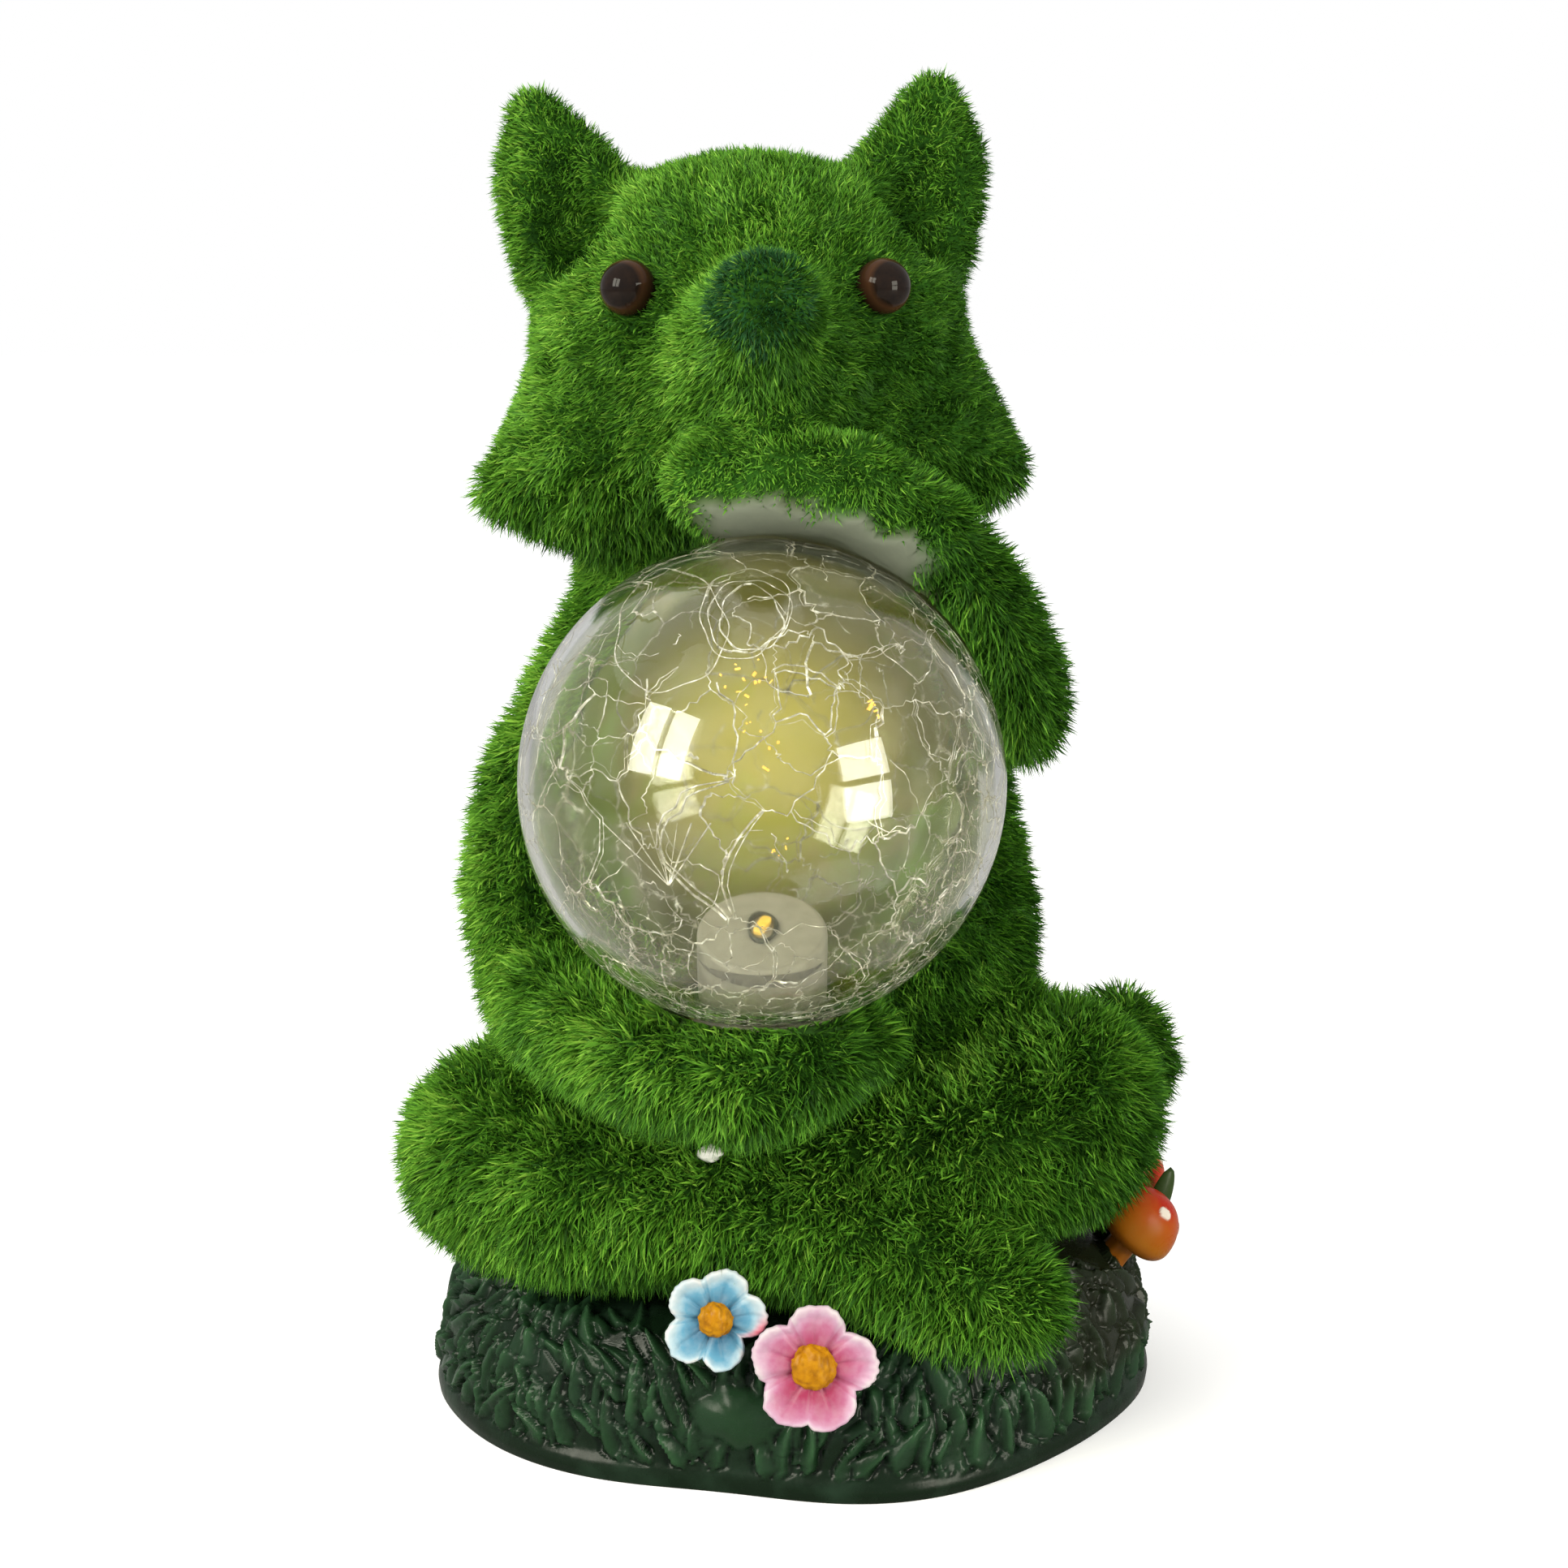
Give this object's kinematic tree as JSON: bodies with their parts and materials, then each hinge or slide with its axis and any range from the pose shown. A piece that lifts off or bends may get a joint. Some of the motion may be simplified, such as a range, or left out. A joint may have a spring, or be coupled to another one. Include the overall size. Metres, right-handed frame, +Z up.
{
  "type": "fox garden statue",
  "caption": "Grass-covered fox sitting cross-legged on a flowery mound, hugging a crackled glass globe that is lit from below.",
  "frame": {"origin": "middle of the mound's flat underside, on the ground", "axes": "+Z up, the fox faces -Y, +X is the fox's own left"},
  "size_m": [0.1451, 0.1385, 0.2404],
  "materials": {
    "grass_flock": "short fibre flock, matte",
    "painted_mound": "dark green gloss paint on resin",
    "crackle_glass": "clear glass, crackled, glossy",
    "white_plastic": "satin",
    "yellow_light": "glossy",
    "dark_eye": "high gloss",
    "blue_paint": "satin paint, white rims",
    "pink_paint": "satin paint, white rims",
    "orange_paint": "glossy paint",
    "red_paint": "glossy paint"
  },
  "bodies": {
    "root": {"fox": "grass_flock", "base": "painted_mound", "globe": "crackle_glass", "lamp_cap": "white_plastic", "led": "yellow_light", "left_eye": "dark_eye", "right_eye": "dark_eye", "blue_flower": "blue_paint", "pink_flower": "pink_paint", "low_toadstool": "orange_paint", "high_toadstool": "red_paint"}
  },
  "joints": []
}
